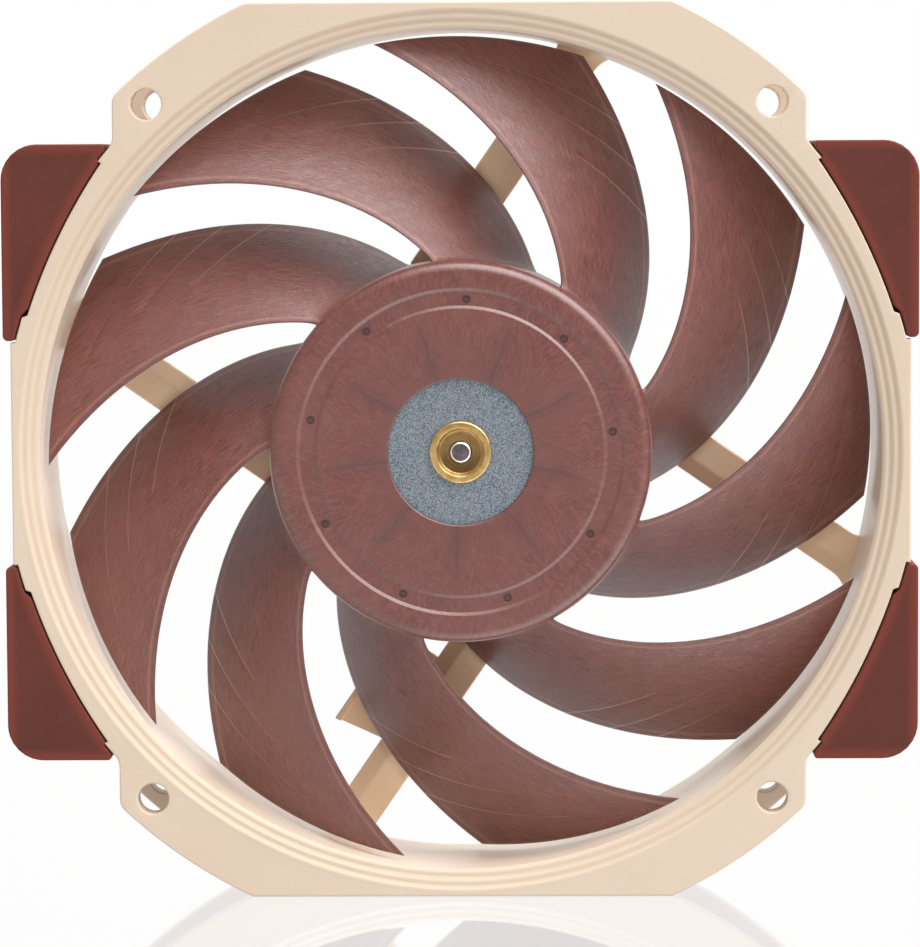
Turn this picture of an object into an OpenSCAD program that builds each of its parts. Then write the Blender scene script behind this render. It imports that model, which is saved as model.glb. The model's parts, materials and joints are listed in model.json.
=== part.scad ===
// Case fan: round-bodied frame with open-corner flanges, four clip-in corner pads,
// nine-blade impeller on a sealed outer-rotor motor with a sleeve bearing.
// Origin: middle of the bottom flat, half way through the depth. +Z is up, the fan blows along +Y.
// Every piece is drawn lying in its own plan (front face towards +Z) and stood up by stand().

/* [Frame] */
// height from the bottom flat to the top flat
body_h = 140; // [136:0.5:144]
// width over the two side flats
body_w = 140.4; // [139.6:0.2:140.8]
// depth from the front face to the rear face
body_d = 25; // [24.6:0.2:30]
// radius of the round flange
ring_r = 72.4; // [72.2:0.1:73]
// radius that the four ears follow
ear_r = 77.4; // [76.5:0.1:78]
// half the width over the ears
ear_x = 53.9; // [53:0.1:55]
// rounding of the ear corners
ear_round = 2.5; // [1.5:0.5:3]
// fillet between ear and round flange
ear_fillet = 3; // [2:0.5:4]
// thickness of each flange
flange_t = 4; // [3:0.5:5]
// radius of the air duct
duct_r = 65.85; // [65.6:0.05:66.2]
// outer radius of the barrel between the flanges
barrel_r = 68.4; // [68:0.1:69.5]
// inner inlet step radius
lip_r = 66.9; // [66.7:0.1:67.5]
// outer inlet step radius
step_r = 68.3; // [68:0.1:69]
// drop of each inlet step
step_drop = 0.6; // [0.3:0.1:1]

/* [Mounting holes] */
// hole spacing across
hole_dx = 97.2; // [94:0.1:98]
// hole spacing up
hole_dy = 108.8; // [106:0.1:109.4]
// mounting hole radius
hole_r = 2.4; // [2:0.1:2.6]

/* [Struts and motor base] */
// direction of the first strut, in degrees
strut_a = 55.3; // [50:0.5:60]
// distance of a strut's near side from the axis
strut_v0 = 16.4; // [15.5:0.1:17]
// distance of a strut's far side from the axis
strut_v1 = 23.4; // [22.5:0.1:24]
// width of a strut's sloping side
strut_slope = 2.5; // [1.5:0.1:3.5]
// height of a strut over the rear face
strut_h = 2.9; // [2.4:0.1:3]
// radius of the motor base
base_r = 29.4; // [28.5:0.1:29.8]
// floor thickness of the motor base
base_t = 2.1; // [1.8:0.1:2.2]
// radius of the blank label on the rear
label_r = 24; // [20:0.5:25]

/* [Corner pads] */
// half the width over the pads
pad_x = 71.4; // [71.2:0.1:72]
// height of a pad's outer end above the axis
pad_y1 = 48.3; // [47.6:0.1:48.4]
// height of a pad's tip above the axis
pad_y0 = 17.7; // [17.6:0.1:20]
// gap between pad and flange
pad_gap = 0.25; // [0.1:0.05:0.4]
// rounding of a pad's outer corner
pad_round = 5.6; // [3:0.1:6]
// radius of the flange's edge inside a pad
seat_arc_r = 93.2; // [93:0.1:93.4]
// radius of the flange behind a pad's tip
seat_r = 71.6; // [71.4:0.1:71.8]

/* [Impeller] */
// hub radius
hub_r = 30; // [29.8:0.1:30.2]
// hub front face, from the middle plane
hub_front = 12; // [11.8:0.1:12.2]
// rounding of the hub's front edge
hub_round = 2; // [1:0.1:2.2]
// number of blades
blade_n = 9; // [7:1:9]
// blade tip radius
tip_r = 64.95; // [64:0.05:65.1]
// mid-blade thickness at the hub
root_t = 2.2; // [1.6:0.1:2.6]
// mid-blade thickness at the tip
tip_t = 1.3; // [1:0.1:1.6]

/* [Motor] */
// shaft radius
shaft_r = 1.6; // [1.5:0.05:1.7]
// running clearance of the shaft in its sleeve
shaft_fit = 0.03; // [0.02:0.01:0.08]
// outer radius of the bearing shell
shell_r = 5.4; // [5.2:0.1:5.6]
// inner radius of the bearing shell
shell_in = 4.4; // [4.2:0.1:4.5]
// radius of the steel disc that shows in the hub
disc_r = 11.4; // [11:0.1:11.6]
// outer radius of the stator
stator_r = 23.5; // [23:0.1:23.6]
// half height of the lamination stack
core_h = 4; // [3:0.5:4]

/* [Hidden] */
$fn = 96;
EPS = 0.01;
half_d = body_d / 2;
mid_z = body_h / 2;
// flange fronts and inner faces
flange_in = half_d - flange_t;
// blade sweep, degrees against millimetres beyond the hub
lead_a0 = 98;
lead_a1 = 1.3624;
lead_a2 = 0.00307;
trail_a0 = 67;
trail_a1 = 1.511;
trail_a2 = 0.006;
// edge heights of a blade at hub and tip
lead_root_z = 9.4;
lead_tip_z = 8.1;
trail_root_z = -8.3;
trail_tip_z = -6.6;
camber = 0.3;
edge_share = 0.3;
root_in = 28.4;
span_n = 11;
chord_n = 8;
// hub shell
hub_wall_in = 27.5;
hub_plate = 2.5;
hub_rear = -8.6;
channel_in = 22.9;
channel_out = 25.5;
dot_ring_r = 23.9;
dot_r = 0.7;
dot_a = 7.6;
face_step = 0.3;
// rotor yoke and magnet
yoke_in = 26.2;
yoke_t = 1.2;
yoke_rear = -7.8;
yoke_front = hub_front - hub_plate;
disc_front = hub_front - 0.7;
magnet_in = 24.2;
magnet_front = 7.6;
magnet_rear = -7.4;
// brass boss on the shaft
boss_r = 4.9;
boss_rim_in = 3.75;
boss_step_r = 2.6;
boss_neck_r = 3;
boss_front = hub_front + 0.1;
boss_rear = 7.6;
boss_dish = 0.6;
boss_step = 1;
// bearing stack
shell_front = 7;
seal_t = 0.8;
ring_mag_t = 1.2;
sleeve_front = shell_front - seal_t - ring_mag_t;
sleeve_rear = -7.2;
seal_in = 2;
thrust_t = 0.8;
shaft_rear = -9.3;
shaft_front = 11.9;
shaft_chamfer = 0.3;
groove_z0 = -8.3;
groove_z1 = -7.7;
groove_r = 1.2;
clip_r = 3;
clip_cut = 1.4;
// motor base
floor_z = -half_d + base_t;
base_rim = 2.1;
base_top = -9.5;
boss_hold_r = 7.4;
boss_hold_top = -5.8;
shoulder_r = 9.2;
board_z0 = -9.9;
board_t = 1;
board_r = 22;
board_hole = 7.6;
label_t = 0.3;
label_sink = 0.4;
label_gap = 0.2;
exit_u0 = 20;
exit_l = 10;
// parts on the board: [direction, distance] and [length, width, height]
chip_at = [180, 13];
chip_size = [4, 5, 1.5];
hall_at = [90, 19];
hall_size = [2, 3.2, 1.2];
cap_at = [12, 13];
cap_size = [1.6, 2.5, 1];
// stator
pole_n = 4;
pole_a0 = 45;
neck_w = 7;
core_ring_r = 9.2;
shoe_in = 21.2;
shoe_half = 38;
ins_t = 0.8;
lip_h = 6.6;
ins_ring_r = 8.6;
lip_u0 = 19;
lip_u1 = 20.2;
coil_u0 = 9.8;
coil_w = 11.6;
pin_r = 0.35;
pin_u = (lip_u0 + lip_u1) / 2;
pin_out = 0.3;
coil_clear = 0.2;
// corner pads and their seats in the flanges, upper right quarter
pad_x0 = 54.9;
seat_x = -21;
seat_y = -7.6;
seat_y0 = 17.4;
seat_y1 = 21.4;
seat_y2 = 45.3;
seat_step = 0.3;
tongue_x0 = 54;
tongue_z = 8.2;
tongue_gap = 0.1;
tongue_inset = 2;
// inner end of the struts, and the height their sloping side loses
strut_u0 = 19;
strut_drop = 1.6;
// cable tray beside one strut
tray_v0 = 8.2;
tray_wall = 1;
tray_floor = 0.8;
tray_lift = 0.3;
tray_u0 = 31.2;
tray_u1 = 48.8;
tray_slant = 10;
tray_cut = 6;
// wire inlet in the way out of the motor base
inlet_u0 = 22.8;
inlet_l = 2.6;
inlet_w = 5.6;
inlet_h = 1;
inlet_z0 = floor_z + tray_lift;
wire_r = 0.35;
wire_n = 4;
// faint round marks of the mould's ejector pins
mark_r = 1.6;
mark_depth = 0.1;
mark_x = 25;
mark_y = 67.4;

// stands the flat-drawn pieces up on the bottom flat
module stand() {
  translate([0, 0, mid_z]) rotate([90, 0, 0]) children();
}

module tube(r_out, r_in, z0, z1) {
  translate([0, 0, z0]) difference() {
    cylinder(r = r_out, h = z1 - z0);
    translate([0, 0, -1]) cylinder(r = r_in, h = z1 - z0 + 2);
  }
}

module disc(r, z0, z1) {
  translate([0, 0, z0]) cylinder(r = r, h = z1 - z0);
}

module four_ways() {
  for (sx = [-1, 1])
    for (sy = [-1, 1])
      translate([sx * hole_dx / 2, sy * hole_dy / 2, 0]) children();
}

function arc(cx, cy, r, a0, a1, n) =
  [for (i = [0:n]) let (a = a0 + (a1 - a0) * i / n) [cx + r * cos(a), cy + r * sin(a)]];
function seat_angle(y) = asin((y - seat_y) / seat_arc_r);
function reversed(list) = [for (i = [len(list) - 1:-1:0]) list[i]];

// one quarter of the flange outline: side flat, pad seat, ring, fillet, ear corner, ear, top flat
function quarter() =
  let (
    fx = ear_x + ear_fillet,
    fy = sqrt(pow(ring_r + ear_fillet, 2) - fx * fx),
    fillet_a = atan2(fy, fx),
    cx = ear_x - ear_round,
    cy = sqrt(pow(ear_r - ear_round, 2) - cx * cx),
    corner_a = atan2(cy, cx)
  )
  concat(
    [[body_w / 2, seat_y0]],
    arc(0, 0, seat_r, asin(seat_y0 / seat_r), asin(seat_y1 / seat_r), 4),
    arc(seat_x, seat_y, seat_arc_r, seat_angle(seat_y1 + seat_step), seat_angle(seat_y2), 10),
    arc(0, 0, ring_r, asin((seat_y2 + seat_step) / ring_r), fillet_a, 2),
    arc(fx, fy, ear_fillet, 180 + fillet_a - 8, 180, 4),
    arc(cx, cy, ear_round, 0, corner_a, 5),
    arc(0, 0, ear_r, corner_a + 2, asin(body_h / 2 / ear_r), 8)
  );

module outline() {
  q = quarter();
  polygon(concat(
    q,
    reversed([for (p = q) [-p[0], p[1]]]),
    [for (p = q) [-p[0], -p[1]]],
    reversed([for (p = q) [p[0], -p[1]]])
  ));
}

// cross-section of a strut: distance from the axis against depth
module strut_section() {
  polygon([
    [strut_v0, -half_d],
    [strut_v1, -half_d],
    [strut_v1, -half_d + strut_h],
    [strut_v0 + strut_slope, -half_d + strut_h],
    [strut_v0, -half_d + strut_h - strut_drop]
  ]);
}

// lays a section (v, z) along +X
module along(u0, u1) {
  translate([u0, 0, 0]) rotate([90, 0, 90]) linear_extrude(height = u1 - u0) children();
}

module struts() {
  intersection() {
    disc((duct_r + barrel_r) / 2, -half_d, half_d);
    for (k = [0:3]) rotate([0, 0, strut_a + 90 * k]) along(strut_u0, barrel_r) strut_section();
  }
}

module cable_tray() {
  low = -half_d + tray_lift;
  rotate([0, 0, strut_a + 180]) difference() {
    along(tray_u0, tray_u1) polygon([
      [tray_v0, low],
      [strut_v0 + 1, low],
      [strut_v0 + 1, low + tray_floor],
      [tray_v0 + tray_wall, low + tray_floor],
      [tray_v0 + tray_wall, -half_d + strut_h - tray_lift],
      [tray_v0, -half_d + strut_h - tray_lift]
    ]);
    translate([tray_u1, tray_v0, -half_d - 1]) rotate([0, 0, tray_slant])
      translate([0, -tray_cut / 2, 0]) cube([tray_cut, 2 * tray_cut, tray_cut]);
  }
}

module motor_base() {
  difference() {
    union() {
      disc(base_r, -half_d, floor_z);
      tube(base_r, base_r - base_rim, -half_d, base_top);
      disc(shoulder_r, floor_z, board_z0);
      disc(boss_hold_r, floor_z, boss_hold_top);
    }
    disc(shell_r, floor_z, half_d);
    disc(label_r + label_gap, -half_d - 1, -half_d + label_sink);
    // way out of the motor base for the wires
    rotate([0, 0, strut_a + 180]) translate([exit_u0, tray_v0 + tray_wall, floor_z + tray_lift])
      cube([exit_l, inlet_w, half_d]);
  }
}

module frame() color([0.86, 0.77, 0.66]) stand() {
  difference() {
    union() {
      for (z = [-half_d, flange_in]) translate([0, 0, z])
        linear_extrude(height = flange_t) outline();
      disc(barrel_r, -half_d, half_d);
    }
    disc(duct_r, -half_d - 1, half_d + 1);
    disc(step_r, half_d - step_drop, half_d + 1);
    disc(lip_r, half_d - 2 * step_drop, half_d + 1);
    four_ways() disc(hole_r, -half_d - 1, half_d + 1);
    for (sx = [-1, 1])
      for (sy = [-1, 1])
        translate([sx * mark_x, sy * mark_y, 0]) disc(mark_r, half_d - mark_depth, half_d + 1);
  }
  struts();
  motor_base();
  cable_tray();
}

// upper right corner pad, flat-drawn
module pad_plan() {
  difference() {
    union() {
      translate([pad_x0, pad_y0]) square([pad_x - pad_round - pad_x0, pad_y1 - pad_y0]);
      translate([pad_x0, pad_y0]) square([pad_x - pad_x0, pad_y1 - pad_round - pad_y0]);
      translate([pad_x - pad_round, pad_y1 - pad_round]) circle(r = pad_round);
    }
    translate([seat_x, seat_y]) circle(r = seat_arc_r + pad_gap, $fn = 256);
    // clear of the flange at both ends of its seat
    intersection() {
      circle(r = seat_r + pad_gap, $fn = 256);
      square([pad_x, seat_y1 + seat_step + pad_gap]);
    }
    intersection() {
      circle(r = ring_r + pad_gap, $fn = 256);
      translate([0, seat_y2 - pad_gap]) square(pad_x);
    }
  }
}

module corner_pad(mx, my) {
  color([0.36, 0.17, 0.14]) stand() mirror([mx, 0, 0]) mirror([0, my, 0]) {
    translate([0, 0, -half_d]) linear_extrude(height = body_d) pad_plan();
    // tongue that fills the channel between the flanges
    intersection() {
      tube(ring_r + 3 * pad_gap, barrel_r + tongue_gap, -tongue_z, tongue_z);
      translate([tongue_x0, pad_y0 + tongue_inset, -half_d])
        cube([pad_x - tongue_x0, pad_y1 - pad_y0 - tongue_inset - tongue_gap, body_d]);
    }
  }
}

module pad_upper_right() { corner_pad(0, 0); }
module pad_upper_left() { corner_pad(1, 0); }
module pad_lower_right() { corner_pad(0, 1); }
module pad_lower_left() { corner_pad(1, 1); }

function lead_a(t) = lead_a0 + lead_a1 * t - lead_a2 * t * t;
function trail_a(t) = trail_a0 + trail_a1 * t - trail_a2 * t * t;
function mix(a, b, k) = a + (b - a) * k;

// middle surface of a blade at radius r and chord share s, then its half thickness
function blade_z(r, s) =
  let (k = (r - hub_r) / (tip_r - hub_r))
  mix(
    mix(lead_root_z, lead_tip_z, k),
    mix(trail_root_z, trail_tip_z, k),
    s * (1 - camber) + camber * s * s
  );
function blade_half(r, s) =
  let (k = (r - hub_r) / (tip_r - hub_r))
  mix(root_t, tip_t, k) / 2 * (edge_share + (1 - edge_share) * 4 * s * (1 - s));
function blade_pt(r, s, side) =
  let (a = mix(lead_a(r - hub_r), trail_a(r - hub_r), s))
  [r * cos(a), r * sin(a), blade_z(r, s) + side * blade_half(r, s)];

module blade() {
  row = chord_n + 1;
  low = row * (span_n + 1);
  spans = [0:span_n - 1];
  chords = [0:chord_n - 1];
  pts = [
    for (side = [1, -1])
      for (j = [0:span_n])
        for (i = [0:chord_n])
          blade_pt(mix(root_in, tip_r, j / span_n), i / chord_n, side)
  ];
  last = span_n * row;
  faces = concat(
    [for (j = spans) for (i = chords) let (a = j * row + i) [a, a + row, a + row + 1]],
    [for (j = spans) for (i = chords) let (a = j * row + i) [a, a + row + 1, a + 1]],
    [for (j = spans) for (i = chords) let (a = low + j * row + i) [a, a + row + 1, a + row]],
    [for (j = spans) for (i = chords) let (a = low + j * row + i) [a, a + 1, a + row + 1]],
    [for (j = spans) let (a = j * row) [a + row, a, low + a]],
    [for (j = spans) let (a = j * row) [a + row, low + a, low + a + row]],
    [for (j = spans) let (a = j * row + chord_n) [a, a + row, low + a + row]],
    [for (j = spans) let (a = j * row + chord_n) [a, low + a + row, low + a]],
    [for (i = chords) let (a = last + i) [a + 1, a, low + a]],
    [for (i = chords) let (a = last + i) [a + 1, low + a, low + a + 1]],
    [for (i = chords) [i, i + 1, low + i + 1]],
    [for (i = chords) [i, low + i + 1, low + i]]
  );
  polyhedron(points = pts, faces = faces);
}

module hub_shell() {
  difference() {
    rotate_extrude() {
      translate([disc_r, yoke_front]) square([hub_r - hub_round - disc_r, hub_plate]);
      translate([hub_wall_in, hub_rear]) square([hub_r - hub_wall_in, hub_front - hub_round - hub_rear]);
      intersection() {
        translate([hub_r - hub_round, hub_front - hub_round]) circle(r = hub_round);
        translate([hub_wall_in, yoke_front - 1]) square([hub_r - hub_wall_in, hub_front]);
      }
    }
    tube(channel_out, channel_in, hub_front - face_step, half_d + 1);
    for (k = [0:blade_n - 1]) rotate([0, 0, dot_a + k * 360 / blade_n])
      translate([dot_ring_r, 0, 0]) disc(dot_r, hub_front - 2 * face_step, half_d + 1);
  }
}

module impeller() color([0.42, 0.26, 0.23]) stand() {
  hub_shell();
  for (k = [0:blade_n - 1]) rotate([0, 0, k * 360 / blade_n]) blade();
}

module rotor_yoke() color([0.55, 0.6, 0.64]) stand() {
  tube(hub_wall_in, yoke_in, yoke_rear, yoke_front);
  tube(hub_wall_in, disc_r - yoke_t, yoke_front - yoke_t, yoke_front);
  tube(disc_r, disc_r - yoke_t, yoke_front - yoke_t, disc_front);
  tube(disc_r, boss_neck_r, disc_front - yoke_t, disc_front);
}

module magnet_ring() color([0.2, 0.19, 0.19]) stand()
  tube(yoke_in, magnet_in, magnet_rear, magnet_front);

module rotor_boss() color([0.8, 0.63, 0.36]) stand() difference() {
  union() {
    disc(boss_r, disc_front, boss_front);
    disc(boss_neck_r, boss_rear, disc_front + EPS);
  }
  disc(boss_rim_in, boss_front - boss_dish, half_d + 1);
  disc(boss_step_r, boss_front - boss_step, half_d + 1);
  disc(shaft_r, boss_rear - 1, half_d + 1);
}

module shaft() color([0.7, 0.7, 0.72]) stand() difference() {
  rotate_extrude() polygon([
    [0, shaft_rear],
    [shaft_r - shaft_chamfer, shaft_rear],
    [shaft_r, shaft_rear + shaft_chamfer],
    [shaft_r, shaft_front - shaft_chamfer],
    [shaft_r - shaft_chamfer, shaft_front],
    [0, shaft_front]
  ]);
  tube(shaft_r + 1, groove_r, groove_z0, groove_z1);
}

module shaft_clip() color([0.3, 0.3, 0.32]) stand() difference() {
  tube(clip_r, groove_r, groove_z0, groove_z1);
  translate([0, -clip_cut / 2, groove_z0 - 1]) cube([clip_r + 1, clip_cut, clip_r]);
}

module bearing_shell() color([0.78, 0.6, 0.32]) stand()
  tube(shell_r, shell_in, floor_z, shell_front);

module bearing_sleeve() color([0.6, 0.42, 0.25]) stand()
  tube(shell_in, shaft_r + shaft_fit, sleeve_rear, sleeve_front);

module bearing_magnet() color([0.25, 0.25, 0.27]) stand()
  tube(shell_in, seal_in, sleeve_front, sleeve_front + ring_mag_t);

module oil_seal() color([0.1, 0.1, 0.1]) stand()
  tube(shell_in, seal_in, shell_front - seal_t, shell_front);

module thrust_plate() color([0.9, 0.9, 0.88]) stand()
  disc(shell_in, floor_z, floor_z + thrust_t);

module four_poles() {
  for (k = [0:pole_n - 1]) rotate([0, 0, pole_a0 + k * 360 / pole_n]) children();
}

// pole shoe: a slice of the outer ring, both straight sides radial
module shoe_plan() {
  far = 2 * stator_r;
  intersection() {
    difference() {
      circle(r = stator_r);
      circle(r = shoe_in);
    }
    polygon([
      [0, 0],
      [far * cos(shoe_half), far * sin(shoe_half)],
      [far * cos(shoe_half), -far * sin(shoe_half)]
    ]);
  }
}

module stator_core() color([0.45, 0.46, 0.48]) stand() difference() {
  translate([0, 0, -core_h]) linear_extrude(height = 2 * core_h) {
    circle(r = core_ring_r);
    four_poles() {
      shoe_plan();
      translate([0, -neck_w / 2]) square([(shoe_in + stator_r) / 2, neck_w]);
    }
  }
  disc(shell_r, -core_h - 1, core_h + 1);
}

// moulded insulation on one face of the core: s = 1 front, s = -1 rear
module insulator(s) {
  mirror([0, 0, s < 0 ? 1 : 0]) difference() {
    translate([0, 0, core_h]) union() {
      cylinder(r = core_ring_r, h = ins_t);
      cylinder(r = ins_ring_r, h = s < 0 ? -boss_hold_top - core_h : lip_h - core_h);
      four_poles() {
        translate([0, -neck_w / 2, 0]) cube([lip_u1, neck_w, ins_t]);
        translate([lip_u0, -coil_w / 2, 0]) cube([lip_u1 - lip_u0, coil_w, lip_h - core_h]);
      }
    }
    disc(shell_r, core_h - 1, half_d);
  }
}

module insulator_front() color([0.93, 0.93, 0.9]) stand() insulator(1);

module insulator_rear() color([0.93, 0.93, 0.9]) stand() difference() {
  insulator(-1);
  four_poles() translate([pin_u, 0, 0]) disc(pin_r, -half_d, 0);
}

module coil(k) {
  color([0.72, 0.38, 0.2]) stand() rotate([0, 0, pole_a0 + k * 360 / pole_n]) difference() {
    translate([coil_u0, -coil_w / 2, -lip_h + coil_clear])
      cube([lip_u0 - coil_u0, coil_w, 2 * (lip_h - coil_clear)]);
    translate([coil_u0 - 1, -neck_w / 2, -core_h - ins_t])
      cube([lip_u0 - coil_u0 + 2, neck_w, 2 * core_h + 2 * ins_t]);
  }
}

module coil_a() { coil(0); }
module coil_b() { coil(1); }
module coil_c() { coil(2); }
module coil_d() { coil(3); }

// ends of the windings, pressed into the rear insulator and soldered to the board
module winding_pins() color([0.8, 0.7, 0.45]) stand()
  four_poles() translate([pin_u, 0, 0]) disc(pin_r, board_z0 - pin_out, -core_h - ins_t);

module circuit_board() color([0.1, 0.3, 0.18]) stand() difference() {
  disc(board_r, board_z0, board_z0 + board_t);
  disc(board_hole, board_z0 - 1, 0);
  four_poles() translate([pin_u, 0, 0]) disc(pin_r, board_z0 - 1, 0);
}

// a small block standing on the board
module on_board(a, r, size) {
  rotate([0, 0, a]) translate([r - size[0] / 2, -size[1] / 2, board_z0 + board_t]) cube(size);
}

module driver_chip() color([0.08, 0.08, 0.09]) stand()
  on_board(chip_at[0], chip_at[1], chip_size);

module hall_sensor() color([0.1, 0.1, 0.11]) stand()
  on_board(hall_at[0], hall_at[1], hall_size);

module capacitors() color([0.66, 0.55, 0.4]) stand()
  for (s = [-1, 1]) on_board(s * cap_at[0], cap_at[1], cap_size);

module base_label() color([0.82, 0.8, 0.76]) stand()
  disc(label_r, -half_d + label_sink - label_t, -half_d + label_sink);

module cord_inlet() color([0.12, 0.1, 0.1]) stand() rotate([0, 0, strut_a + 180]) difference() {
  translate([inlet_u0, tray_v0 + tray_wall, inlet_z0]) cube([inlet_l, inlet_w, inlet_h]);
  for (k = [0:wire_n - 1])
    translate([inlet_u0 - 1, tray_v0 + tray_wall + inlet_w * (k + 0.5) / wire_n, inlet_z0 + inlet_h / 2])
      rotate([0, 90, 0]) cylinder(r = wire_r, h = inlet_l + 2, $fn = 32);
}

frame();
pad_upper_left();
pad_upper_right();
pad_lower_left();
pad_lower_right();
impeller();
rotor_yoke();
magnet_ring();
rotor_boss();
shaft();
shaft_clip();
bearing_shell();
bearing_sleeve();
bearing_magnet();
oil_seal();
thrust_plate();
stator_core();
insulator_front();
insulator_rear();
coil_a();
coil_b();
coil_c();
coil_d();
winding_pins();
circuit_board();
driver_chip();
hall_sensor();
capacitors();
base_label();
cord_inlet();
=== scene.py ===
"""Looks of the case fan: smooth frame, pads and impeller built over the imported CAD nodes."""

import json
import math

import bmesh
import bpy
import numpy as np
from mathutils import Matrix, Vector


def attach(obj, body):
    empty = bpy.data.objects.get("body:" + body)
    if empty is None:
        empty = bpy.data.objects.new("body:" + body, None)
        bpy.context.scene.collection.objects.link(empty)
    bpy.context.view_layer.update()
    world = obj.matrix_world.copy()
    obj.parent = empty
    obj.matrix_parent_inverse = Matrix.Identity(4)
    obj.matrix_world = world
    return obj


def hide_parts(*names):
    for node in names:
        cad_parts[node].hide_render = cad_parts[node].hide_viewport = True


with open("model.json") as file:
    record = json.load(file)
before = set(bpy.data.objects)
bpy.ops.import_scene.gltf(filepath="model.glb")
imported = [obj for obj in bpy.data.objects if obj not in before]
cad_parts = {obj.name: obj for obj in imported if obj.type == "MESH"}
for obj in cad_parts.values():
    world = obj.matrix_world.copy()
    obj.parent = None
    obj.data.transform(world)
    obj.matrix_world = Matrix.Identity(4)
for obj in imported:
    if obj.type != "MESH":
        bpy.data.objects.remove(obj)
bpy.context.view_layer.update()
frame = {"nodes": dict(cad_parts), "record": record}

MM = 0.001
AXIS_Z = 70.0          # height of the fan axis over the floor
HALF_D = 12.5          # half the depth of the frame

# ---------------------------------------------------------------- mesh helpers


def to_world(points):
    """Flat-drawn millimetres (x right, y up, z to the front) to the standing part in metres."""
    p = np.asarray(points, float)
    return np.stack([p[:, 0], -p[:, 2], p[:, 1] + AXIS_Z], 1) * MM


def new_object(name, verts, faces, corner_uv=None, angle=40.0):
    mesh = bpy.data.meshes.new(name)
    mesh.from_pydata([tuple(v) for v in to_world(verts)], [], faces)
    if corner_uv is not None:
        layer = mesh.uv_layers.new(name="flow")
        layer.data.foreach_set("uv", np.asarray(corner_uv, np.float32).ravel())
    return finish_mesh(name, mesh, angle)


def finish_mesh(name, mesh, angle):
    """Object of a cleaned mesh, smooth but for edges sharper than angle."""
    mesh.validate()
    bm = bmesh.new()
    bm.from_mesh(mesh)
    bmesh.ops.remove_doubles(bm, verts=bm.verts, dist=2e-6)
    bmesh.ops.recalc_face_normals(bm, faces=bm.faces)
    bm.to_mesh(mesh)
    bm.free()
    mesh.polygons.foreach_set("use_smooth", [True] * len(mesh.polygons))
    mesh.set_sharp_from_angle(angle=math.radians(angle))
    obj = bpy.data.objects.new(name, mesh)
    bpy.context.scene.collection.objects.link(obj)
    return obj


def weighted(obj):
    """Normals that follow the large faces, so that flats stay flat beside their rounded edges."""
    m = obj.modifiers.new("even_normals", "WEIGHTED_NORMAL")
    m.keep_sharp = True
    m.weight = 60
    return obj


def rounded(points, radii, steps=5):
    """Closed outline with each corner replaced by an arc of its radius."""
    out = []
    n = len(points)
    for i in range(n):
        p = Vector(points[i])
        r = radii[i] if not isinstance(radii, (int, float)) else radii
        a = Vector(points[i - 1]) - p
        b = Vector(points[(i + 1) % n]) - p
        la, lb = a.length, b.length
        if r <= 0 or la < 1e-6 or lb < 1e-6:
            out.append(tuple(p))
            continue
        a.normalize()
        b.normalize()
        half = a.angle(b) / 2
        if half > math.radians(89):
            out.append(tuple(p))
            continue
        cut = min(r / math.tan(half), 0.48 * la, 0.48 * lb)
        rr = cut * math.tan(half)
        mid = (a + b).normalized()
        centre = p + mid * (rr / math.sin(half))
        s, e = p + a * cut - centre, p + b * cut - centre
        for k in range(steps + 1):
            t = k / steps
            v = s.lerp(e, t)
            if v.length < 1e-9:
                continue
            out.append(tuple(centre + v.normalized() * rr))
    return out


def lathe(name, profile, turns=288, angle=40.0):
    """Closed (r, z) outline turned round the fan axis."""
    n = len(profile)
    length = [0.0]
    for i in range(n):
        a, b = profile[i], profile[(i + 1) % n]
        length.append(length[-1] + math.hypot(b[0] - a[0], b[1] - a[1]))
    verts = []
    for k in range(turns):
        t = 2 * math.pi * k / turns
        c, s = math.cos(t), math.sin(t)
        verts += [(r * c, r * s, z) for r, z in profile]
    faces, uv = [], []
    for k in range(turns):
        k2 = (k + 1) % turns
        for i in range(n):
            j = (i + 1) % n
            if profile[i][0] < 1e-6 and profile[j][0] < 1e-6:
                continue
            faces.append((k * n + i, k * n + j, k2 * n + j, k2 * n + i))
            u0, u1 = k / turns, (k + 1) / turns
            uv += [(u0, length[i]), (u0, length[i + 1]), (u1, length[i + 1]), (u1, length[i])]
    return new_object(name, verts, faces, uv, angle)


def plate(name, loops, z0, z1, bevel, steps=4):
    """Flat outline with holes, given thickness and rounded edges."""
    curve = bpy.data.curves.new(name, "CURVE")
    curve.dimensions = "2D"
    curve.fill_mode = "BOTH"
    curve.extrude = (z1 - z0) / 2 - bevel
    curve.bevel_depth = bevel
    curve.bevel_resolution = steps
    curve.offset = -bevel
    for loop in loops:
        s = curve.splines.new("POLY")
        s.points.add(len(loop) - 1)
        for q, p in zip(s.points, loop):
            q.co = (p[0], p[1], 0, 1)
        s.use_cyclic_u = True
    tmp = bpy.data.objects.new(name + "_outline", curve)
    bpy.context.scene.collection.objects.link(tmp)
    dg = bpy.context.evaluated_depsgraph_get()
    mesh = bpy.data.meshes.new_from_object(tmp.evaluated_get(dg))
    bpy.data.objects.remove(tmp)
    co = np.zeros(len(mesh.vertices) * 3)
    mesh.vertices.foreach_get("co", co)
    co = co.reshape(-1, 3)
    co[:, 2] += (z0 + z1) / 2
    mesh.vertices.foreach_set("co", to_world(co).ravel())
    mesh.update()
    mesh.name = name
    return weighted(finish_mesh(name, mesh, 50.0))


FLARE_STEPS = 6        # stations along a flared end
SLANT_POWER = 8        # how late along a bar its slanted end begins


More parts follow.
